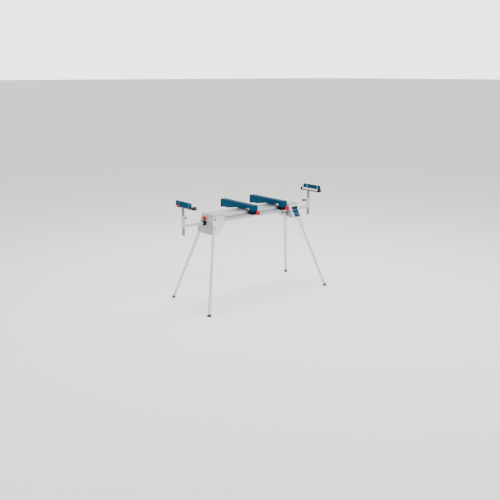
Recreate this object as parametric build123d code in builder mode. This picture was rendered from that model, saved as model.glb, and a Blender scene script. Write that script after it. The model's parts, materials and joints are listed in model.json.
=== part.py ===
from build123d import *
import os
from math import cos, radians, sqrt, tan

# Folding stand for a mitre saw. X runs along the beam, +Y is the rear, Z is up from the floor,
# and the origin is the middle of the footprint. Sizes are millimetres.
# Legs, hangers and covers are drawn once in the +X +Y quarter and turned or mirrored into place.

# Driving dimensions
top_z = 820
beam_half_width = 84
beam_top_z = 816
beam_bottom_z = 755
beam_half_length = 495
slot_z = 787
cap_half_width = 88
cap_inner_x = 380
cap_top_x = 500
end_lean = 0.2184
sheet = 3.0

pivot = Vector(501, 90, 701)
wide_foot = Vector(727, 319, 0)
narrow_foot = Vector(685, 309, 0)
wide_fold_shift = -85
narrow_fold_shift = 12
leg_radius = 14
leg_wall = 1.5
eye_radius = 15.5
flare_angle = 18
pivot_radius = 5
lock_distance = 32

arm_y = 20
arm_z = 740
arm_size = 25
arm_tail_x = 130
post_x = 745
post_radius = 12.5
post_bottom_z = 658
post_top_z = 901
sleeve_radius = 15.5
sleeve_bottom_z = 722
sleeve_top_z = 828
post_knob_z = 803
arm_knob_z = 779
guide_half_width = 22
guide_bottom_z = 722
guide_top_z = 758
guide_outer_x = 543

support_x = 735.5
support_width = 35
support_rear_y = 88
support_front_y = -136
support_cheek = 15
roller_z = 917.5
roller_radius = 12.5
plate_inner_x = 758
plate_outer_x = 761
stop_knob_y = 55
stop_screw_z = 915

bracket_width = 56
bracket_rear_y = 345
bracket_front_y = -145
bracket_top_z = 867.5
bracket_wall = 3
bracket_left_x = -71
bracket_right_x = 285
clamp_z = 797
saw_slot_width = 9
saw_slot_length = 90
saw_slot_ys = (240, -20)

mirror_x = Plane.YZ
mirror_y = Plane.XZ

os.makedirs("parts", exist_ok=True)


def save(part, name):
    part.label = name
    export_step(part, f"parts/{name}.step")


def turned(part):
    return part.rotate(Axis.Z, 180)


def lean_x(z):
    """Outer face of the leaning end wall at height z."""
    return cap_top_x + (top_z - z) * end_lean


wall_normal = Vector(1, 0, end_lean).normalized()
knob_seat = Vector(lean_x(arm_knob_z), arm_y, arm_knob_z)

# ---------------------------------------------------------------- beam and ends

with BuildPart() as main_beam:
    with BuildSketch(Plane.YZ.offset(-beam_half_length)) as beam_profile:
        beam_mid_z = (beam_top_z + beam_bottom_z) / 2
        beam_height = beam_top_z - beam_bottom_z
        with Locations((0, beam_mid_z)):
            Rectangle(2 * beam_half_width, beam_height)
        fillet(beam_profile.vertices().group_by(Axis.Y)[-1], 10)
        fillet(beam_profile.vertices().group_by(Axis.Y)[0], 3)
        with Locations((-beam_half_width, slot_z), (beam_half_width, slot_z)):
            Rectangle(10, 8, mode=Mode.SUBTRACT)
        with Locations((8.5 - beam_half_width, slot_z), (beam_half_width - 8.5, slot_z)):
            Rectangle(7, 18, mode=Mode.SUBTRACT)
        with Locations((-46, beam_mid_z), (46, beam_mid_z)):
            Rectangle(44, beam_height - 6, mode=Mode.SUBTRACT)
        with Locations((0, beam_mid_z)):
            Rectangle(42, beam_height - 6, mode=Mode.SUBTRACT)
        with Locations((-22.5, beam_top_z), (22.5, beam_top_z)):
            Rectangle(3, 2.4, mode=Mode.SUBTRACT)
    extrude(amount=2 * beam_half_length)
save(main_beam.part, "main_beam")

with BuildPart() as end_cap:
    with BuildSketch(Plane.XZ):
        with BuildLine():
            Polyline(
                (cap_inner_x, beam_bottom_z),
                (cap_inner_x, top_z),
                (cap_top_x, top_z),
                (lean_x(beam_bottom_z), beam_bottom_z),
                close=True,
            )
        make_face()
    extrude(amount=cap_half_width, both=True)
    cap_edges = end_cap.edges().filter_by(Axis.Y).group_by(Axis.Z)[-1].sort_by(Axis.X)[-1:]
    fillet(cap_edges + end_cap.edges().filter_by(Axis.X).group_by(Axis.Z)[-1], 3)
    with BuildSketch(Plane.XZ):
        inner_top_z = beam_top_z + 0.3
        with BuildLine():
            Polyline(
                (cap_inner_x - 10, beam_bottom_z - 5),
                (cap_inner_x - 10, inner_top_z),
                (lean_x(inner_top_z) - sheet, inner_top_z),
                (lean_x(beam_bottom_z - 5) - sheet, beam_bottom_z - 5),
                close=True,
            )
        make_face()
    extrude(amount=beam_half_width + 0.3, both=True, mode=Mode.SUBTRACT)
    with BuildSketch(Plane(origin=knob_seat - wall_normal * 10, z_dir=wall_normal)):
        Circle(4.05)
    extrude(amount=20, mode=Mode.SUBTRACT)
save(end_cap.part, "end_cap_right")
save(mirror(end_cap.part, about=mirror_x), "end_cap_left")

# Guide block that the arm slides through, with a collar outside the end panel
with BuildPart() as arm_guide:
    with BuildSketch(Plane.XZ.offset(-arm_y)):
        with BuildLine():
            Polyline(
                (488, guide_bottom_z),
                (488, beam_bottom_z),
                (lean_x(beam_bottom_z), beam_bottom_z),
                (lean_x(guide_top_z), guide_top_z),
                (guide_outer_x, guide_top_z),
                (guide_outer_x, guide_bottom_z),
                close=True,
            )
        make_face()
    extrude(amount=guide_half_width, both=True)
    fillet(arm_guide.edges().filter_by(Axis.Z).group_by(Axis.X)[-1], 4)
    with BuildSketch(Plane.YZ.offset(480)):
        with Locations((arm_y, arm_z)):
            RectangleRounded(arm_size + 0.7, arm_size + 0.7, 3)
    extrude(amount=100, mode=Mode.SUBTRACT)
save(arm_guide.part, "arm_guide_right")
save(mirror(arm_guide.part, about=mirror_x), "arm_guide_left")

with BuildPart() as inner_guides:
    for guide_x in (-404, 384):
        with BuildSketch(Plane.YZ.offset(guide_x)):
            with Locations((arm_y, 738.5)):
                Rectangle(45, 33)
            with Locations((arm_y, arm_z)):
                RectangleRounded(arm_size + 0.7, arm_size + 0.7, 3, mode=Mode.SUBTRACT)
        extrude(amount=20)
save(inner_guides.part, "inner_arm_guides")


def flare_y(z, offset):
    """Y of the flared plate plane at height z, offset outward from the leg axis plane."""
    from_axis = offset / cos(radians(flare_angle))
    return pivot.Y + from_axis + (pivot.Z - z) * tan(radians(flare_angle))


def leg_frame(foot, shift):
    """Open direction, hinge axis and length of the leg that ends at this foot."""
    span = foot - pivot
    folded = Vector(-sqrt(span.length**2 - shift**2), shift, 0)
    return span.normalized(), span.cross(folded).normalized(), span.length


def along(origin, direction, distance=0):
    """Plane at a distance along a direction, facing that direction."""
    return Plane(origin=origin + direction * distance, z_dir=direction)


wide_dir, wide_axis, wide_length = leg_frame(wide_foot, wide_fold_shift)
narrow_dir, narrow_axis, narrow_length = leg_frame(narrow_foot, narrow_fold_shift)
plate_gap = leg_radius + 2.5

# ---------------------------------------------------------------- lower end panels

panel_bottom_z = 650
with BuildPart() as end_panel:
    with BuildSketch(Plane.XZ):
        with BuildLine():
            Polyline(
                (lean_x(beam_bottom_z) - sheet, beam_bottom_z),
                (lean_x(beam_bottom_z), beam_bottom_z),
                (lean_x(panel_bottom_z), panel_bottom_z),
                (lean_x(panel_bottom_z) - sheet, panel_bottom_z),
                close=True,
            )
        make_face()
    extrude(amount=120, both=True)
    with BuildSketch(Plane.YZ.offset(480)) as panel_outline:
        with BuildLine():
            Polyline(
                (-cap_half_width, beam_bottom_z),
                (cap_half_width, beam_bottom_z),
                (cap_half_width, 735),
                (106, panel_bottom_z),
                (-106, panel_bottom_z),
                (-cap_half_width, 735),
                close=True,
            )
        make_face()
        fillet(panel_outline.vertices().group_by(Axis.Y)[0], 8)
        with Locations((arm_y, beam_bottom_z)):
            Rectangle(
                2 * guide_half_width,
                beam_bottom_z - guide_bottom_z,
                align=(Align.CENTER, Align.MAX),
                mode=Mode.SUBTRACT,
            )
    extrude(amount=80, mode=Mode.INTERSECT)
save(end_panel.part, "end_panel_right")
save(mirror(end_panel.part, about=mirror_x), "end_panel_left")

# ---------------------------------------------------------------- side plates

# Sheet flat against the cover at the top and flared in line with the leg below
with BuildPart() as bent_sheet:
    bend_z = pivot.Z + (flare_y(pivot.Z, plate_gap) - cap_half_width) / tan(radians(flare_angle))
    low_z = 640
    with BuildSketch(Plane.YZ.offset(cap_inner_x - 30)):
        with BuildLine():
            Polyline(
                (cap_half_width, top_z),
                (cap_half_width, bend_z),
                (flare_y(low_z, plate_gap), low_z),
                (flare_y(low_z, plate_gap + sheet), low_z),
                (cap_half_width + sheet, bend_z + sheet * tan(radians(flare_angle / 2))),
                (cap_half_width + sheet, top_z),
                close=True,
            )
        make_face()
    extrude(amount=200)


def plate_holes(axis):
    """Solids that cut the pivot hole and the bolt hole of a side plate."""
    with BuildPart() as holes:
        with BuildSketch(along(pivot, axis, 8)):
            Circle(pivot_radius + 0.05)
        extrude(amount=20)
        with BuildSketch(Plane.XZ.offset(-cap_half_width - 10)):
            with Locations((487, 780)):
                Circle(4.05)
        extrude(amount=20)
    return holes.part


with BuildPart() as disc_plate:
    add(bent_sheet.part)
    with BuildSketch(Plane.XZ) as disc_outline:
        with BuildLine():
            ThreePointArc((380, 797), (417.5, 702.5), (511, 660))
            Polyline((511, 660), (533, 660), (lean_x(806) - 1, 806), (380, 806), (380, 797))
        make_face()
        fillet(disc_outline.vertices().group_by(Axis.Y)[0].sort_by(Axis.X)[-1:], 5)
    extrude(amount=-200, mode=Mode.INTERSECT)
    add(plate_holes(wide_axis), mode=Mode.SUBTRACT)
save(disc_plate.part, "disc_plate_rear_right")
save(turned(disc_plate.part), "disc_plate_front_left")

with BuildPart() as strip_plate:
    add(bent_sheet.part)
    with BuildSketch(Plane.XZ) as strip_outline:
        with BuildLine():
            Polyline((387, 806), (lean_x(806) - 1, 806), (531, 661), (435, 667), close=True)
        make_face()
        fillet(strip_outline.vertices(), 4)
    extrude(amount=-200, mode=Mode.INTERSECT)
    add(plate_holes(narrow_axis), mode=Mode.SUBTRACT)
save(mirror(strip_plate.part, about=mirror_y), "strip_plate_front_right")
save(mirror(strip_plate.part, about=mirror_x), "strip_plate_rear_left")

with BuildPart() as plate_bolts:
    for bolt_x in (-487, 487):
        for face in (1, -1):
            spot = Vector(bolt_x, face * cap_half_width, 780)
            with BuildSketch(Plane(origin=spot, z_dir=(0, face, 0))):
                Circle(4)
            extrude(amount=sheet)
            head = Vector(bolt_x, face * (cap_half_width + sheet), 780)
            with BuildSketch(Plane(origin=head, z_dir=(0, face, 0))):
                RegularPolygon(8, 6)
            extrude(amount=4.5)

# ---------------------------------------------------------------- inner brackets and pivot bolts


def leg_bracket(axis):
    """Ear square to the hinge axis, on a foot plate under the beam."""
    with BuildPart() as ear:
        with BuildSketch(Plane(origin=pivot - axis * (plate_gap + sheet), x_dir=(-1, 0, 0), z_dir=axis)):
            Circle(leg_radius)
            with Locations((-2, 0)):
                Rectangle(30, 90, align=(Align.MIN, Align.MIN))
        extrude(amount=sheet)
        with BuildSketch(Plane.XY.offset(beam_bottom_z)):
            with Locations((pivot.X, 60)):
                Rectangle(120, 120)
        extrude(amount=60, mode=Mode.SUBTRACT)
        with BuildSketch(Plane.XY.offset(beam_bottom_z - sheet)):
            with Locations((468, 64)):
                Rectangle(54, 30)
        extrude(amount=sheet)
        with BuildSketch(along(pivot, axis, -40)):
            Circle(pivot_radius + 0.05)
        extrude(amount=40, mode=Mode.SUBTRACT)
    return ear.part


def pivot_bolt(axis):
    """Bolt through plate, leg and ear with a domed head outside and a nut inside."""
    with BuildPart() as bolt:
        with BuildSketch(along(pivot, axis, -plate_gap - sheet - 8)):
            Circle(pivot_radius)
        extrude(amount=2 * plate_gap + 2 * sheet + 10)
        with BuildSketch(along(pivot, axis, plate_gap + sheet + 1.1)):
            Circle(8)
        extrude(amount=4.5)
        fillet(bolt.faces().sort_by(Axis.Y)[-1].edges(), 2)
        with BuildSketch(along(pivot, axis, -plate_gap - sheet - 6)):
            RegularPolygon(8.5, 6)
        extrude(amount=6)
    return bolt.part


wide_ear = leg_bracket(wide_axis)
narrow_ear = leg_bracket(narrow_axis)
save(Compound([wide_ear, mirror(narrow_ear, about=mirror_y)]), "leg_brackets_right")
save(Compound([turned(wide_ear), mirror(narrow_ear, about=mirror_x)]), "leg_brackets_left")
wide_bolt = pivot_bolt(wide_axis)
narrow_bolt = pivot_bolt(narrow_axis)
wide_bolts = [wide_bolt, turned(wide_bolt)]
narrow_bolts = [mirror(narrow_bolt, about=mirror_y), mirror(narrow_bolt, about=mirror_x)]
save(Compound(wide_bolts + narrow_bolts), "pivot_bolts")
save(plate_bolts.part, "plate_bolts")

# ---------------------------------------------------------------- legs, buttons and feet


def leg_tube(direction, axis, tube_length):
    """Round tube with a rounded eye at the pivot and a hole for the lock button."""
    with BuildPart() as leg:
        with BuildSketch(along(pivot, direction, -eye_radius - 1)):
            Circle(leg_radius)
            Circle(leg_radius - leg_wall, mode=Mode.SUBTRACT)
        extrude(amount=eye_radius + 1 + tube_length)
        with BuildSketch(Plane(origin=pivot - axis * 20, x_dir=direction, z_dir=axis)):
            Circle(eye_radius)
            Rectangle(tube_length + 1, 2 * eye_radius, align=(Align.MIN, Align.CENTER))
        extrude(amount=40, mode=Mode.INTERSECT)
        with BuildSketch(along(pivot, axis, -20)):
            Circle(pivot_radius + 0.05)
        extrude(amount=40, mode=Mode.SUBTRACT)
        with BuildSketch(along(pivot + direction * lock_distance, axis)):
            Circle(4.55)
        extrude(amount=20, mode=Mode.SUBTRACT)
    return leg.part


def leg_button(direction, axis):
    """Spring button that holds the leg open."""
    with BuildPart() as button:
        with BuildSketch(along(pivot + direction * lock_distance, axis, 4)):
            Circle(4.5)
        extrude(amount=plate_gap - 5.3)
        fillet(button.edges().sort_by(Axis.Y)[-1], 1.5)
    return button.part


def turned_piece(origin, direction, spans):
    """Round piece along a direction from (start, end, radius) spans, cut flat at the floor."""
    with BuildPart() as piece:
        for start, end, radius in spans:
            with BuildSketch(along(origin, direction, start)):
                Circle(radius)
            extrude(amount=end - start)
        with BuildSketch(Plane.XY):
            with Locations((origin.X + direction.X * 700, origin.Y + direction.Y * 700)):
                Rectangle(300, 300)
        extrude(amount=-80, mode=Mode.SUBTRACT)
    return piece.part


def ring(origin, direction, start, end, outer, inner):
    """Collar along a direction."""
    with BuildPart() as collar:
        with BuildSketch(along(origin, direction, start)):
            Circle(outer)
            Circle(inner, mode=Mode.SUBTRACT)
        extrude(amount=end - start)
    return collar.part


adjust_leg = leg_tube(wide_dir, wide_axis, wide_length - 62)
pad_leg = leg_tube(wide_dir, wide_axis, wide_length - 16)
small_leg = leg_tube(narrow_dir, narrow_axis, narrow_length - 14)
save(adjust_leg, "leg_rear_right")
save(turned(pad_leg), "leg_front_left")
save(mirror(small_leg, about=mirror_y), "leg_front_right")
save(mirror(small_leg, about=mirror_x), "leg_rear_left")

wide_button = leg_button(wide_dir, wide_axis)
narrow_button = leg_button(narrow_dir, narrow_axis)
save(wide_button, "leg_button_rear_right")
save(turned(wide_button), "leg_button_front_left")
save(mirror(narrow_button, about=mirror_y), "leg_button_front_right")
save(mirror(narrow_button, about=mirror_x), "leg_button_rear_left")

pad_foot = turned_piece(pivot, wide_dir, [(wide_length - 15, wide_length + 20, 18)])
pad_collar = ring(pivot, wide_dir, wide_length - 48, wide_length - 15, 16, leg_radius)
save(turned(pad_foot), "foot_pad_front_left")
save(turned(pad_collar), "foot_collar_front_left")

small_end = narrow_length - 9
small_sleeve = ring(pivot, narrow_dir, narrow_length - 30, narrow_length - 14, 15.5, leg_radius)
small_tip = turned_piece(
    pivot,
    narrow_dir,
    [(narrow_length - 14, small_end, 15.5), (small_end, narrow_length + 20, 12)],
)
small_foot = small_sleeve + small_tip
save(mirror(small_foot, about=mirror_y), "foot_front_right")
save(mirror(small_foot, about=mirror_x), "foot_rear_left")

thread_insert = ring(pivot, wide_dir, wide_length - 92, wide_length - 62, leg_radius - leg_wall, 7.05)
insert_rim = ring(pivot, wide_dir, wide_length - 62, wide_length - 54, leg_radius, 7.05)
save(thread_insert + insert_rim, "thread_insert_rear_right")
stem = turned_piece(pivot, wide_dir, [(wide_length - 110, wide_length - 22, 7)])
adjust_foot = turned_piece(pivot, wide_dir, [(wide_length - 22, wide_length + 20, 16)])
save(stem, "foot_stem_rear_right")
save(adjust_foot, "foot_rear_right")

# ---------------------------------------------------------------- knobs


def lobed(radius, lobes):
    """Grip outline with shallow finger hollows."""
    Circle(radius)
    with PolarLocations(radius * 1.18, lobes):
        Circle(radius * 0.34, mode=Mode.SUBTRACT)


# ---------------------------------------------------------------- extension arms

with BuildPart() as arm:
    with BuildSketch(Plane.YZ.offset(arm_tail_x)):
        with Locations((arm_y, arm_z)):
            RectangleRounded(arm_size, arm_size, 3)
            RectangleRounded(arm_size - 4, arm_size - 4, 1.5, mode=Mode.SUBTRACT)
    extrude(amount=post_x - arm_tail_x)
    with BuildSketch(Plane.XY.offset(sleeve_bottom_z)):
        with Locations((post_x, arm_y)):
            Circle(sleeve_radius)
    extrude(amount=sleeve_top_z - sleeve_bottom_z)
    knob_dir = Vector(-0.8, 0.6, 0)
    knob_origin = Vector(post_x, arm_y, post_knob_z)
    with BuildSketch(along(knob_origin, knob_dir)):
        Circle(8)
    extrude(amount=21)
    with BuildSketch(Plane.XY.offset(sleeve_bottom_z - 1)):
        with Locations((post_x, arm_y)):
            Circle(post_radius + 0.08)
    extrude(amount=120, mode=Mode.SUBTRACT)
    with BuildSketch(along(knob_origin, knob_dir)):
        Circle(4.05)
    extrude(amount=30, mode=Mode.SUBTRACT)
save(arm.part, "extension_arm_right")
save(mirror(arm.part, about=mirror_x), "extension_arm_left")

with BuildPart() as arm_stop:
    with BuildSketch(Plane.YZ.offset(arm_tail_x - 6)):
        with Locations((arm_y, arm_z)):
            RectangleRounded(29, 29, 3)
    extrude(amount=6)
    with BuildSketch(Plane.YZ.offset(arm_tail_x)):
        with Locations((arm_y, arm_z)):
            RectangleRounded(arm_size - 4.2, arm_size - 4.2, 1.5)
    extrude(amount=18)
save(arm_stop.part, "arm_stop_right")
save(mirror(arm_stop.part, about=mirror_x), "arm_stop_left")

with BuildPart() as arm_knob:
    with BuildSketch(along(knob_seat, wall_normal, -7)):
        Circle(4)
    extrude(amount=8)
    with BuildSketch(along(knob_seat, wall_normal, 0.4)):
        Circle(9)
    extrude(amount=5)
    with BuildSketch(along(knob_seat, wall_normal, 5)):
        lobed(18.5, 6)
    extrude(amount=20)
    fillet(arm_knob.faces().sort_by(Axis.X)[-1].edges(), 2)
save(arm_knob.part, "arm_knob_right")
save(mirror(arm_knob.part, about=mirror_x), "arm_knob_left")

# ---------------------------------------------------------------- posts and their knobs

with BuildPart() as post:
    with BuildSketch(Plane.XY.offset(post_bottom_z)):
        with Locations((post_x, arm_y)):
            Circle(post_radius)
            Circle(post_radius - 1.5, mode=Mode.SUBTRACT)
    extrude(amount=post_top_z - post_bottom_z)
save(post.part, "post_right")
save(mirror(post.part, about=mirror_x), "post_left")

with BuildPart() as post_knob:
    with BuildSketch(along(knob_origin, knob_dir, 13)):
        Circle(4)
    extrude(amount=15)
    with BuildSketch(along(knob_origin, knob_dir, 21.4)):
        lobed(12, 5)
    extrude(amount=9)
    with BuildSketch(along(knob_origin, knob_dir, 30.4)):
        Circle(9)
    extrude(amount=14)
    ball_plane = Plane(origin=knob_origin + knob_dir * 48, x_dir=knob_dir, z_dir=(0, 0, 1))
    with BuildSketch(ball_plane):
        with BuildLine():
            ThreePointArc((-14, 0), (0, 14), (14, 0))
            Line((14, 0), (-14, 0))
        make_face()
    revolve(axis=Axis(knob_origin, knob_dir), revolution_arc=360)
save(post_knob.part, "post_knob_right")
save(mirror(post_knob.part, about=mirror_x), "post_knob_left")

# ---------------------------------------------------------------- work supports

channel_z = post_top_z
base_sheet = 2.5
block_top_z = roller_z + roller_radius + 1
with BuildPart() as support_frame:
    with BuildSketch(Plane.XZ.offset(-support_rear_y)):
        inner_x = support_x - support_width / 2
        outer_x = support_x + support_width / 2
        with BuildLine():
            Polyline(
                (inner_x, channel_z),
                (outer_x, channel_z),
                (outer_x, 925),
                (outer_x - base_sheet, 925),
                (outer_x - base_sheet, channel_z + base_sheet),
                (inner_x, channel_z + base_sheet),
                close=True,
            )
        make_face()
    extrude(amount=support_rear_y - support_front_y)
    for block_y in (support_rear_y + support_cheek, support_front_y):
        with BuildSketch(Plane.XY.offset(channel_z)):
            with Locations((support_x, block_y - support_cheek / 2)):
                Rectangle(support_width, support_cheek)
        extrude(amount=base_sheet)
    with BuildSketch(Plane.XY.offset(channel_z)):
        with Locations((support_x + 4, arm_y)):
            Rectangle(27, 40)
    extrude(amount=base_sheet)
    with BuildSketch(Plane.YZ.offset(outer_x)):
        with Locations((-90, stop_screw_z), (stop_knob_y, stop_screw_z)):
            Circle(7)
    extrude(amount=plate_inner_x - 0.3 - outer_x)
    with BuildSketch(Plane.YZ.offset(outer_x)):
        with Locations((-90, stop_screw_z)):
            Circle(2.9)
    extrude(amount=plate_outer_x + 0.4 - outer_x)
    with BuildSketch(Plane.YZ.offset(plate_outer_x + 0.4)):
        with Locations((-90, stop_screw_z)):
            Circle(6)
    extrude(amount=2)
    with BuildSketch(Plane.YZ.offset(outer_x - 5)):
        with Locations((stop_knob_y, stop_screw_z)):
            Circle(3.05)
    extrude(amount=14, mode=Mode.SUBTRACT)
save(support_frame.part, "support_frame_right")
save(mirror(support_frame.part, about=mirror_x), "support_frame_left")

with BuildPart() as support_ends:
    for block_y in (support_rear_y + support_cheek, support_front_y):
        with BuildSketch(Plane.XZ.offset(-block_y)) as block_outline:
            with Locations((support_x, channel_z + base_sheet)):
                Rectangle(support_width, block_top_z - channel_z - base_sheet, align=(Align.CENTER, Align.MIN))
            fillet(block_outline.vertices().group_by(Axis.Y)[-1], 9)
            with Locations((support_x, roller_z)):
                Circle(4.05, mode=Mode.SUBTRACT)
        extrude(amount=support_cheek)
save(support_ends.part, "support_ends_right")
save(mirror(support_ends.part, about=mirror_x), "support_ends_left")

with BuildPart() as roller:
    with BuildSketch(Plane.XZ.offset(-support_rear_y + 0.5)):
        with Locations((support_x, roller_z)):
            Circle(roller_radius)
    extrude(amount=support_rear_y - support_front_y - 1)
    chamfer(roller.edges(), 0.8)
    with BuildSketch(Plane.XZ.offset(-support_rear_y - 13)):
        with Locations((support_x, roller_z)):
            Circle(4)
    extrude(amount=support_rear_y - support_front_y + 26)
save(roller.part, "support_roller_right")
save(mirror(roller.part, about=mirror_x), "support_roller_left")

with BuildPart() as stop_plate:
    with BuildSketch(Plane.YZ.offset(plate_inner_x)) as stop_outline:
        with Locations((-12.5, 935)):
            Rectangle(239, 52)
        fillet(stop_outline.vertices().group_by(Axis.Y)[-1], 9)
        with Locations((stop_knob_y, 907), (-90, 907)):
            Rectangle(20, 8)
        for slot_y in (stop_knob_y, -90):
            with Locations((slot_y, stop_screw_z + 17)):
                SlotOverall(41, 6.8, rotation=90, mode=Mode.SUBTRACT)
    extrude(amount=plate_outer_x - plate_inner_x)
save(stop_plate.part, "stop_plate_right")
save(mirror(stop_plate.part, about=mirror_x), "stop_plate_left")

with BuildPart() as stop_knob:
    with BuildSketch(Plane.YZ.offset(749.5)):
        with Locations((stop_knob_y, stop_screw_z)):
            Circle(3)
    extrude(amount=12)
    with BuildSketch(Plane.YZ.offset(plate_outer_x + 0.4)):
        with Locations((stop_knob_y, stop_screw_z)):
            lobed(14, 6)
    extrude(amount=13)
    fillet(stop_knob.faces().sort_by(Axis.X)[-1].edges(), 1.5)
save(stop_knob.part, "stop_knob_right")
save(mirror(stop_knob.part, about=mirror_x), "stop_knob_left")

# ---------------------------------------------------------------- saw brackets

half_bracket = bracket_width / 2
seat_z = beam_top_z + 0.3
cap_y = bracket_rear_y - 3
head_z = 812
with BuildPart() as saw_bracket:
    with BuildSketch(Plane.YZ.offset(-half_bracket)) as bracket_outline:
        with BuildLine():
            Polyline(
                (bracket_front_y, bracket_top_z),
                (cap_y, bracket_top_z),
                (cap_y, 815),
                (330, 815),
                (330, 800),
                (322, 795),
                (229, 795),
                (106, seat_z),
                (45, seat_z),
                (-89, 836),
                (-89, head_z),
                (bracket_front_y, head_z),
                close=True,
            )
        make_face()
    extrude(amount=bracket_width)
    fillet(saw_bracket.edges().filter_by(Axis.Y).group_by(Axis.Z)[-1], 5)
    with BuildSketch(Plane.YZ.offset(bracket_wall - half_bracket)):
        with Locations((0, bracket_top_z - bracket_wall)):
            inner_length = cap_y - bracket_front_y - bracket_wall + 10
            with Locations((cap_y + 10, 0)):
                Rectangle(inner_length, 90, align=(Align.MAX, Align.MAX))
    extrude(amount=bracket_width - 2 * bracket_wall, mode=Mode.SUBTRACT)
    with BuildSketch(Plane.XY.offset(bracket_top_z - 10)):
        for slot_y in saw_slot_ys:
            with Locations((0, slot_y)):
                SlotOverall(saw_slot_length, saw_slot_width, rotation=90)
    extrude(amount=20, mode=Mode.SUBTRACT)

with BuildPart() as bracket_cap:
    with BuildSketch(Plane.YZ.offset(-half_bracket)):
        with BuildLine():
            Polyline(
                (cap_y, 864),
                (bracket_rear_y, 862),
                (bracket_rear_y, 790),
                (bracket_rear_y - 3, 787),
                (330, 787),
                (330, 815),
                (cap_y, 815),
                close=True,
            )
        make_face()
    extrude(amount=bracket_width)
    with BuildSketch(Plane.YZ.offset(0.2 + bracket_wall - half_bracket)):
        with Locations((331, 838)):
            Rectangle(22, 46)
    extrude(amount=bracket_width - 2 * bracket_wall - 0.4)

jaw_front_y = bracket_front_y
with BuildPart() as clamp_jaw:
    with BuildSketch(Plane.YZ.offset(-half_bracket)):
        with BuildLine():
            Polyline(
                (jaw_front_y, head_z),
                (-86, head_z),
                (-86, 790),
                (-80.5, 790),
                (-80.5, 784.5),
                (-86, 784.5),
                (-86, 780),
                (jaw_front_y + 6, 780),
                (jaw_front_y, 786),
                close=True,
            )
        make_face()
    extrude(amount=bracket_width)
    with BuildSketch(Plane.XY.offset(head_z)):
        with Locations((0, (jaw_front_y - 89) / 2)):
            Rectangle(bracket_width - 2 * bracket_wall - 0.4, -89 - jaw_front_y - 2 * bracket_wall - 0.4)
    extrude(amount=20)
    with BuildSketch(Plane.XZ.offset(-jaw_front_y + 5)):
        with Locations((19, clamp_z)):
            Circle(4.05)
    extrude(amount=-50, mode=Mode.SUBTRACT)

with BuildPart() as clamp_knob:
    with BuildSketch(Plane.XZ.offset(-jaw_front_y - 40)):
        with Locations((19, clamp_z)):
            Circle(4)
    extrude(amount=45)
    with BuildSketch(Plane.XZ.offset(-jaw_front_y + 0.4)):
        with Locations((19, clamp_z)):
            Circle(11)
    extrude(amount=5)
    with BuildSketch(Plane.XZ.offset(-jaw_front_y + 5)):
        with Locations((19, clamp_z)):
            lobed(23, 6)
    extrude(amount=18)
    fillet(clamp_knob.faces().sort_by(Axis.Y)[0].edges(), 2.5)

for side, bracket_x in (("left", bracket_left_x), ("right", bracket_right_x)):
    save(Pos(bracket_x, 0, 0) * saw_bracket.part, f"saw_bracket_{side}")
    save(Pos(bracket_x, 0, 0) * bracket_cap.part, f"bracket_cap_{side}")
    save(Pos(bracket_x, 0, 0) * clamp_jaw.part, f"clamp_jaw_{side}")
    save(Pos(bracket_x, 0, 0) * clamp_knob.part, f"clamp_knob_{side}")
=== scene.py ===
import json
import math

import bmesh
import bpy
from mathutils import Matrix, Vector


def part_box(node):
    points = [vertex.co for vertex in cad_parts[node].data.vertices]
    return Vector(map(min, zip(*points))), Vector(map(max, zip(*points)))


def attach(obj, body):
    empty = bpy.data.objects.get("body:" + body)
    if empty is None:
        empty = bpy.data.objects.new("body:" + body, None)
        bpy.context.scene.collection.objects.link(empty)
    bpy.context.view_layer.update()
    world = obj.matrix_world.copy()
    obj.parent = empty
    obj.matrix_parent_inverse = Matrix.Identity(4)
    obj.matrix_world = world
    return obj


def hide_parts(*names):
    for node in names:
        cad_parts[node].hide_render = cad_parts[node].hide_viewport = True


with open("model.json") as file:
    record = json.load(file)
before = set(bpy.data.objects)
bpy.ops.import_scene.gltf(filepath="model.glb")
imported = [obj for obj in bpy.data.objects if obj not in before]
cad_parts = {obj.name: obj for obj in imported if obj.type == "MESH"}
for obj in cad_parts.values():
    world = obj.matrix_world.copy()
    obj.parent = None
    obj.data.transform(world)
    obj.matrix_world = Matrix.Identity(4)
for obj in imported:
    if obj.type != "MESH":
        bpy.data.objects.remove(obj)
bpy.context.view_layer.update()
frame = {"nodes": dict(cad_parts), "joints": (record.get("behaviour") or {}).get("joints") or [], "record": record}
record = frame["record"]
nodes = frame["nodes"]


# ---------------------------------------------------------------- material building blocks


def link(mat, a, b):
    mat.node_tree.links.new(a, b)


def node(mat, kind, **values):
    made = mat.node_tree.nodes.new(kind)
    for key, value in values.items():
        setattr(made, key, value)
    return made


def new_material(name):
    """Empty Principled material with object coordinates ready to use."""
    mat = bpy.data.materials.new(name)
    mat.use_nodes = True
    shader = mat.node_tree.nodes["Principled BSDF"]
    coords = node(mat, "ShaderNodeTexCoord")
    return mat, shader, coords.outputs["Object"]


def scaled(mat, vector, scale, rotation=(0, 0, 0)):
    mapping = node(mat, "ShaderNodeMapping")
    mapping.inputs["Scale"].default_value = scale
    mapping.inputs["Rotation"].default_value = rotation
    link(mat, vector, mapping.inputs["Vector"])
    return mapping.outputs["Vector"]


def noise_of(mat, vector, scale, detail=3.0, rough=0.5):
    tex = node(mat, "ShaderNodeTexNoise")
    tex.inputs["Scale"].default_value = scale
    tex.inputs["Detail"].default_value = detail
    tex.inputs["Roughness"].default_value = rough
    link(mat, vector, tex.inputs["Vector"])
    return tex.outputs["Fac"]


def ramp(mat, fac, stops):
    made = node(mat, "ShaderNodeValToRGB")
    elements = made.color_ramp.elements
    while len(elements) < len(stops):
        elements.new(0.5)
    for element, (place, colour) in zip(elements, stops):
        element.position = place
        element.color = (*colour, 1)
    link(mat, fac, made.inputs["Fac"])
    return made.outputs["Color"]


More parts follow.
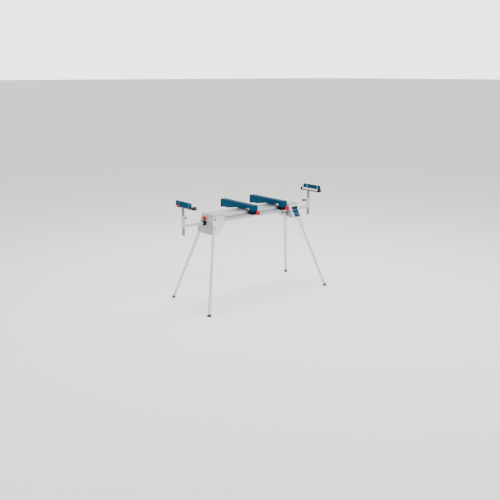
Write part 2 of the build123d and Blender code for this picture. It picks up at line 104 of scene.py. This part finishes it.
def spread(mat, fac, low, high):
    """The 0 to 1 input carried to low to high."""
    made = node(mat, "ShaderNodeMapRange")
    made.inputs["From Min"].default_value = 0.3
    made.inputs["From Max"].default_value = 0.7
    made.inputs["To Min"].default_value = low
    made.inputs["To Max"].default_value = high
    link(mat, fac, made.inputs["Value"])
    return made.outputs["Result"]


def bumped(mat, shader, layers, edge=0.0008):
    """Chains bump layers of (height, strength, distance) on softened edges."""
    soft = node(mat, "ShaderNodeBevel", samples=4)
    soft.inputs["Radius"].default_value = edge
    normal = soft.outputs["Normal"]
    for height, strength, distance in layers:
        bump = node(mat, "ShaderNodeBump")
        bump.inputs["Strength"].default_value = strength
        bump.inputs["Distance"].default_value = distance
        link(mat, height, bump.inputs["Height"])
        link(mat, normal, bump.inputs["Normal"])
        normal = bump.outputs["Normal"]
    link(mat, normal, shader.inputs["Normal"])


def shade(colour, factor):
    return tuple(min(1.0, c * factor) for c in colour)


def painted(name, colour, rough=0.38, coat=0.15, peel=0.12, spec=0.5):
    """Powder coat: orange-peel texture, slight tone and gloss drift, faint handling marks."""
    mat, shader, obj = new_material(name)
    broad = noise_of(mat, obj, 9, 4)
    tones = [(0.3, shade(colour, 0.93)), (0.7, shade(colour, 1.05))]
    link(mat, ramp(mat, broad, tones), shader.inputs["Base Color"])
    marks = noise_of(mat, scaled(mat, obj, (30, 160, 90)), 1.6, 6, 0.7)
    link(mat, spread(mat, marks, rough - 0.07, rough + 0.12), shader.inputs["Roughness"])
    shader.inputs["Specular IOR Level"].default_value = spec
    shader.inputs["Coat Weight"].default_value = coat
    shader.inputs["Coat Roughness"].default_value = 0.25
    grain = noise_of(mat, obj, 900, 2)
    wave = noise_of(mat, obj, 40, 2)
    bumped(mat, shader, [(grain, peel, 0.0004), (wave, 0.05, 0.001)])
    return mat


def extruded(name, colour, stretch, rough=0.3, metal=1.0):
    """Extruded or turned metal: fine lines along the stretch axis and a soft sheen."""
    mat, shader, obj = new_material(name)
    lines = noise_of(mat, scaled(mat, obj, stretch), 60, 5, 0.65)
    broad = noise_of(mat, obj, 6, 3)
    tones = [(0.3, shade(colour, 0.92)), (0.7, shade(colour, 1.04))]
    link(mat, ramp(mat, broad, tones), shader.inputs["Base Color"])
    shader.inputs["Metallic"].default_value = metal
    link(mat, spread(mat, lines, rough - 0.08, rough + 0.14), shader.inputs["Roughness"])
    bumped(mat, shader, [(lines, 0.16, 0.0004)])
    return mat


def moulded(name, colour, rough=0.45, texture=0.25, spec=0.5, metal=0.0):
    """Moulded plastic or rubber: fine spark texture with slight wear in the gloss."""
    mat, shader, obj = new_material(name)
    tone = noise_of(mat, obj, 22, 4)
    tones = [(0.3, shade(colour, 0.86)), (0.72, shade(colour, 1.12))]
    link(mat, ramp(mat, tone, tones), shader.inputs["Base Color"])
    shader.inputs["Specular IOR Level"].default_value = spec
    shader.inputs["Metallic"].default_value = metal
    wear = noise_of(mat, obj, 70, 5, 0.65)
    link(mat, spread(mat, wear, rough - 0.08, rough + 0.14), shader.inputs["Roughness"])
    spark = noise_of(mat, obj, 1400, 2)
    bumped(mat, shader, [(spark, texture, 0.0004)], 0.0011)
    return mat


def two_tone_foot(name, dark, light, height):
    """Black foot whose lowest band, near the floor, is a lighter wear-pad compound."""
    mat, shader, obj = new_material(name)
    split = node(mat, "ShaderNodeSeparateXYZ")
    link(mat, obj, split.inputs["Vector"])
    band = node(mat, "ShaderNodeMapRange", interpolation_type="SMOOTHSTEP")
    band.inputs["From Min"].default_value = height - 0.0008
    band.inputs["From Max"].default_value = height + 0.0008
    link(mat, split.outputs["Z"], band.inputs["Value"])
    link(mat, ramp(mat, band.outputs["Result"], [(0.0, light), (1.0, dark)]), shader.inputs["Base Color"])
    wear = noise_of(mat, obj, 90, 5, 0.65)
    link(mat, spread(mat, wear, 0.5, 0.75), shader.inputs["Roughness"])
    spark = noise_of(mat, obj, 1200, 2)
    bumped(mat, shader, [(spark, 0.3, 0.0004)], 0.0012)
    return mat


light_grey = painted("light_grey_paint", (0.52, 0.53, 0.54), 0.42, 0.1)
mid_grey = painted("mid_grey_paint", (0.15, 0.158, 0.17), 0.42, 0.1)
panel_grey = painted("panel_grey_paint", (0.27, 0.28, 0.29), 0.45, 0.06)
cap_grey = painted("cap_grey_paint", (0.31, 0.32, 0.325), 0.45, 0.06)
pale_grey = painted("pale_grey_paint", (0.42, 0.43, 0.445), 0.42, 0.1)
blue = painted("petrol_blue_paint", (0.0, 0.036, 0.076), 0.5, 0.0, 0.12, 0.06)
aluminium = extruded("beam_aluminium", (0.41, 0.42, 0.43), (0.6, 60, 60), 0.34)
roller_metal = extruded("roller_metal", (0.55, 0.56, 0.57), (60, 0.8, 60), 0.26)
zinc = extruded("zinc_steel", (0.62, 0.63, 0.62), (30, 30, 30), 0.3)
black = moulded("black_plastic", (0.004, 0.004, 0.0045), 0.55, 0.25, 0.08)
red = moulded("red_plastic", (0.42, 0.003, 0.013), 0.4, 0.12, 0.18)
dark_red = moulded("dark_red_plastic", (0.28, 0.004, 0.012), 0.45, 0.12, 0.1)
rubber = moulded("foot_rubber", (0.022, 0.022, 0.024), 0.62, 0.4)
collar = moulded("collar_plastic", (0.55, 0.56, 0.57), 0.4, 0.15)
small_foot = two_tone_foot("small_foot_rubber", (0.02, 0.02, 0.022), (0.42, 0.43, 0.44), 0.009)

by_slot = {
    "beam_aluminium": aluminium,
    "light_grey_paint": light_grey,
    "mid_grey_paint": mid_grey,
    "blue_paint": blue,
    "black_plastic": black,
    "red_plastic": red,
    "zinc_steel": zinc,
    "roller_metal": roller_metal,
    "foot_rubber": rubber,
    "collar_plastic": collar,
}
by_node = {
    "pivot_bolts": mid_grey,
    "end_cap_left": cap_grey,
    "end_cap_right": cap_grey,
    "end_panel_left": panel_grey,
    "end_panel_right": panel_grey,
    "extension_arm_left": pale_grey,
    "extension_arm_right": pale_grey,
    "foot_front_right": small_foot,
    "foot_rear_left": small_foot,
}
for entry in record["subparts"]:
    name = entry["node"]
    target = nodes[name]
    target.data.materials.clear()
    target.data.materials.append(by_node.get(name, by_slot[entry["material_slot"]]))


# ---------------------------------------------------------------- mesh building blocks


def mesh_object(name, bm, mat, smooth=True):
    mesh = bpy.data.meshes.new(name)
    bmesh.ops.recalc_face_normals(bm, faces=bm.faces)
    bm.to_mesh(mesh)
    bm.free()
    for face in mesh.polygons:
        face.use_smooth = smooth
    obj = bpy.data.objects.new(name, mesh)
    bpy.context.collection.objects.link(obj)
    obj.data.materials.append(mat)
    if smooth:
        obj.data.set_sharp_from_angle(angle=math.radians(38))
    return obj


def centre(name):
    low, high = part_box(name)
    return (low + high) / 2


def upright(direction):
    """Rotation that carries local Z to a direction."""
    return Vector(direction).to_track_quat("Z", "X").to_matrix().to_4x4()


def lathe(name, mat, origin, direction, profile, segments=64, lobes=0, depth=0.0):
    """Turns (height, radius) points round a direction; lobes press finger hollows into the rim."""
    bm = bmesh.new()
    place = Matrix.Translation(origin) @ upright(direction)
    widest = max(r for _, r in profile)
    rings = []
    for height, radius in profile:
        ring = []
        for i in range(segments):
            angle = 2 * math.pi * i / segments
            share = (radius / widest) ** 3
            dip = depth * share * (0.5 - 0.5 * math.cos(lobes * angle)) if lobes else 0
            r = radius - dip
            ring.append(bm.verts.new(place @ Vector((r * math.cos(angle), r * math.sin(angle), height))))
        rings.append(ring)
    for a, b in zip(rings, rings[1:]):
        for i in range(segments):
            j = (i + 1) % segments
            bm.faces.new((a[i], a[j], b[j], b[i]))
    for ring in (rings[0], rings[-1]):
        bm.faces.new(ring)
    return mesh_object(name, bm, mat)


def rounded(points, radius, steps=4):
    """Profile with its inner corners rounded by small arcs."""
    out = [points[0]]
    for before, here, after in zip(points, points[1:], points[2:]):
        a = Vector(before) - Vector(here)
        b = Vector(after) - Vector(here)
        reach = min(radius, a.length * 0.45, b.length * 0.45)
        start = Vector(here) + a.normalized() * reach
        end = Vector(here) + b.normalized() * reach
        for k in range(steps + 1):
            t = k / steps
            out.append(tuple(start * (1 - t) ** 2 + Vector(here) * 2 * t * (1 - t) + end * t * t))
    out.append(points[-1])
    return out


# ---------------------------------------------------------------- post knobs in two colours

AXIS_GAP = 0.0002
HUB_START, HUB_END, HUB_RADIUS = 0.0216, 0.0303, 0.0118
STEM_START, STEM_RADIUS = 0.013, 0.0039
BALL_CENTRE, BALL_RADIUS, BALL_STEPS = 0.048, 0.0139, 16
BALL_SWEEP_DEG = 147

for side, sign in (("left", -1), ("right", 1)):
    name = f"post_knob_{side}"
    axis = Vector((-0.8 * sign, 0.6, 0))
    sleeve = centre(f"post_{side}")
    root = Vector((sleeve.x, sleeve.y, centre(name).z))
    grip = [(STEM_START, AXIS_GAP), (STEM_START, STEM_RADIUS), (0.0215, STEM_RADIUS)]
    grip += [(HUB_START, HUB_RADIUS), (HUB_END, HUB_RADIUS), (0.0304, AXIS_GAP)]
    star = lathe(f"post_knob_grip_{side}", black, root, axis, rounded(grip, 0.0015), 80, 5, 0.0024)
    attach(star, name)
    ball = [(0.0304, AXIS_GAP), (0.0306, 0.0088), (0.0325, 0.0078), (0.0345, 0.0076)]
    for k in range(1, BALL_STEPS + 1):
        turn = math.radians(BALL_SWEEP_DEG - BALL_SWEEP_DEG * k / BALL_STEPS)
        across = max(AXIS_GAP, BALL_RADIUS * math.sin(turn))
        ball.append((BALL_CENTRE + BALL_RADIUS * math.cos(turn), across))
    head = lathe(f"post_knob_ball_{side}", red, root, axis, ball, 48)
    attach(head, name)
    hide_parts(name)

# ---------------------------------------------------------------- lobed knobs with a cap in the middle

KNOB_STEM = 0.0036
DISH_DEPTH = 0.0016
CLAMP_KNOB_OFFSET = 0.019

def grip_knob(side_name, root, axis, stem, hub, start, thick, radius, lobes):
    """Moulded hand knob: steel stem, hub, lobed grip with a rounded rim, and an inset cap."""
    edge = radius * 0.12
    dish = radius * 0.5
    top = start + thick
    floor_of_dish = top - DISH_DEPTH
    profile = [(stem, AXIS_GAP), (stem, KNOB_STEM), (0.0005, KNOB_STEM), (0.0006, hub), (start, hub)]
    profile += [(start + 0.0001, radius - edge), (start + edge, radius), (top - edge, radius)]
    profile += [(top, radius - edge), (top, dish), (floor_of_dish, dish - 0.0006)]
    profile += [(floor_of_dish, AXIS_GAP)]
    shape = rounded(profile, 0.0008)
    grip = lathe(f"{side_name}_grip", red, root, axis, shape, 96, lobes, radius * 0.17)
    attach(grip, side_name)
    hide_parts(side_name)
    rim = dish - 0.0012
    cap = [(floor_of_dish, AXIS_GAP), (floor_of_dish, rim), (top - 0.0008, rim), (top - 0.0002, AXIS_GAP)]
    insert = lathe(f"{side_name}_cap", dark_red, root, axis, rounded(cap, 0.0005), 48)
    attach(insert, side_name)


turns = {j["child"]: j for j in frame["joints"] if j["type"] == "hinge"}
for side, sign in (("left", -1), ("right", 1)):
    jaw_low, jaw_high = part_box(f"clamp_jaw_{side}")
    middle = centre(f"clamp_knob_{side}")
    root = Vector(((jaw_low.x + jaw_high.x) / 2 + CLAMP_KNOB_OFFSET, jaw_low.y, middle.z))
    grip_knob(
        f"clamp_knob_{side}", root, (0, -1, 0),
        stem=-0.04, hub=0.0108, start=0.005, thick=0.0178, radius=0.0228, lobes=6,
    )
    turn = turns[f"arm_knob_{side}"]
    grip_knob(
        f"arm_knob_{side}", Vector(turn["pos_m"]), turn["axis"],
        stem=-0.0068, hub=0.0088, start=0.005, thick=0.0198, radius=0.0182, lobes=6,
    )
    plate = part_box(f"stop_plate_{side}")
    middle = centre(f"stop_knob_{side}")
    face = plate[0].x if sign < 0 else plate[1].x
    root = Vector((face, middle.y, middle.z))
    grip_knob(
        f"stop_knob_{side}", root, (sign, 0, 0),
        stem=-0.0083, hub=0.007, start=0.0012, thick=0.012, radius=0.0138, lobes=6,
    )

# ---------------------------------------------------------------- threaded stem of the adjustable foot

foot_joint = [j for j in frame["joints"] if j["name"] == "foot_height"][0]
down = Vector(foot_joint["axis"]).normalized()
leg_root = Vector(turns["leg_rear_right"]["pos_m"])
reach = -leg_root.z / down.z
THREAD_ROOT, THREAD_CREST, THREAD_PITCH = 0.0062, 0.007, 0.002
STEM_TOP, STEM_BOTTOM = reach - 0.1098, reach - 0.0222
thread = [(STEM_TOP, 0.0001), (STEM_TOP, THREAD_ROOT)]
height = reach - 0.1095
while height < reach - 0.0245:
    thread += [(height, THREAD_ROOT), (height + 0.0009, THREAD_CREST), (height + 0.0011, THREAD_CREST)]
    height += THREAD_PITCH
thread += [(STEM_BOTTOM, THREAD_ROOT), (STEM_BOTTOM, 0.0001)]
stem = lathe("foot_stem_thread", zinc, leg_root, down, thread, 40)
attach(stem, "adjustable_foot")
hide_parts("foot_stem_rear_right")

# ---------------------------------------------------------------- plain label on the front right plate

PLATE_Y, FLARED_Y, PIVOT_Z = 0.091, 0.1105, 0.701
FILM_GAP = 0.0004
lean = math.tan(math.radians(18))
bend_z = PIVOT_Z + (FLARED_Y - PLATE_Y) / lean


def plate_face(z):
    """Outer face of the front plates at height z, flat above the bend and flared below."""
    return -PLATE_Y - max(0.0, bend_z - z) * lean


top_left, top_right = Vector((0.413, 0.789)), Vector((0.493, 0.790))
low_left, low_right = Vector((0.4445, 0.6875)), Vector((0.516, 0.6895))
bm = bmesh.new()
uv = bm.loops.layers.uv.new("label")
across, down_steps = 12, 36
grid = []
for row in range(down_steps + 1):
    v = row / down_steps
    grid.append([])
    for col in range(across + 1):
        u = col / across
        spot = (top_left.lerp(top_right, u)).lerp(low_left.lerp(low_right, u), v)
        grid[-1].append((bm.verts.new((spot.x, plate_face(spot.y) - FILM_GAP, spot.y)), u, 1 - v))
for upper, lower in zip(grid, grid[1:]):
    for col in range(across):
        ring = (upper[col], lower[col], lower[col + 1], upper[col + 1])
        face = bm.faces.new([corner[0] for corner in ring])
        for loop, corner in zip(face.loops, ring):
            loop[uv].uv = (corner[1], corner[2])
label_mat, label_shader, label_obj = new_material("label_film")
label_coords = node(label_mat, "ShaderNodeTexCoord").outputs["UV"]
label_split = node(label_mat, "ShaderNodeSeparateXYZ")
link(label_mat, label_coords, label_split.inputs["Vector"])
label_blue, label_mid = (0.002, 0.024, 0.07), (0.008, 0.06, 0.14)
label_dark, label_pale = (0.002, 0.01, 0.03), (0.07, 0.13, 0.19)
bands = ramp(
    label_mat,
    label_split.outputs["Y"],
    [
        (0.0, label_blue), (0.24, label_blue), (0.26, label_mid), (0.4, label_mid), (0.42, label_blue),
        (0.66, label_blue), (0.68, label_pale), (0.705, label_pale), (0.72, label_dark), (1.0, label_dark),
    ],
)
edge_stops = [(0.0, (1, 1, 1)), (0.07, (1, 1, 1)), (0.09, (0, 0, 0))]
edge_fade = ramp(label_mat, label_split.outputs["X"], edge_stops)
border = node(label_mat, "ShaderNodeMix", data_type="RGBA")
link(label_mat, edge_fade, border.inputs["Factor"])
link(label_mat, bands, border.inputs["A"])
border.inputs["B"].default_value = (0.4, 0.44, 0.48, 1)
link(label_mat, border.outputs["Result"], label_shader.inputs["Base Color"])
label_wear = noise_of(label_mat, label_obj, 60, 4)
link(label_mat, spread(label_mat, label_wear, 0.22, 0.4), label_shader.inputs["Roughness"])
label_shader.inputs["Specular IOR Level"].default_value = 0.12
bumped(label_mat, label_shader, [(noise_of(label_mat, label_obj, 300, 2), 0.05, 0.0003)], 0.0002)
label = mesh_object("plain_label", bm, label_mat, False)
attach(label, "frame")

# ---------------------------------------------------------------- camera, light and floor

bpy.context.view_layer.update()
floor_mat, floor_shader, floor_obj = new_material("studio_floor")
floor_tone = noise_of(floor_mat, floor_obj, 3, 4)
link(
    floor_mat,
    ramp(floor_mat, floor_tone, [(0.3, (0.95, 0.95, 0.95)), (0.7, (0.97, 0.97, 0.97))]),
    floor_shader.inputs["Base Color"],
)
floor_shader.inputs["Roughness"].default_value = 0.75
bpy.ops.mesh.primitive_plane_add(size=400, location=(0, 0, -0.0005))
floor = bpy.context.object
floor.name = "studio_floor"
floor.data.materials.append(floor_mat)

world = bpy.data.worlds.new("studio")
bpy.context.scene.world = world
world.use_nodes = True
sky = world.node_tree.nodes["Background"]
sky.inputs["Color"].default_value = (1, 1, 1, 1)
sky_coords = world.node_tree.nodes.new("ShaderNodeTexCoord")
sky_split = world.node_tree.nodes.new("ShaderNodeSeparateXYZ")
sky_fade = world.node_tree.nodes.new("ShaderNodeMapRange")
sky_fade.interpolation_type = "SMOOTHSTEP"
sky_fade.inputs["From Min"].default_value = 0.02
sky_fade.inputs["From Max"].default_value = 0.75
sky_fade.inputs["To Min"].default_value = 3.4
sky_fade.inputs["To Max"].default_value = 0.7
world.node_tree.links.new(sky_coords.outputs["Generated"], sky_split.inputs["Vector"])
world.node_tree.links.new(sky_split.outputs["Z"], sky_fade.inputs["Value"])
world.node_tree.links.new(sky_fade.outputs["Result"], sky.inputs["Strength"])


def softbox(name, place, target, size, power):
    data = bpy.data.lights.new(name, "AREA")
    data.shape = "RECTANGLE"
    data.size, data.size_y = size
    data.energy = power
    lamp = bpy.data.objects.new(name, data)
    lamp.location = place
    lamp.rotation_euler = (Vector(target) - Vector(place)).to_track_quat("-Z", "Y").to_euler()
    bpy.context.collection.objects.link(lamp)


softbox("key", (1.6, -3.6, 4.4), target=(0, 0, 0.5), size=(2.2, 1.6), power=150)
softbox("top", (0.3, 0.6, 4.2), target=(0, 0, 0.6), size=(3.2, 2.2), power=190)
softbox("fill", (-4.6, -1.2, 2.4), target=(0, 0, 0.7), size=(2.0, 2.0), power=25)

camera_data = bpy.data.cameras.new("camera")
camera_data.sensor_width = 36
camera_data.lens = 50.55
camera_data.dof.use_dof = False
camera = bpy.data.objects.new("camera", camera_data)
camera.location = (-4.05565, -4.97389, 2.0317)
yaw, pitch = math.radians(39.08), math.radians(14.17)
look = Vector((math.sin(yaw) * math.cos(pitch), math.cos(yaw) * math.cos(pitch), -math.sin(pitch)))
camera.rotation_euler = look.to_track_quat("-Z", "Y").to_euler()
bpy.context.collection.objects.link(camera)
bpy.context.scene.camera = camera
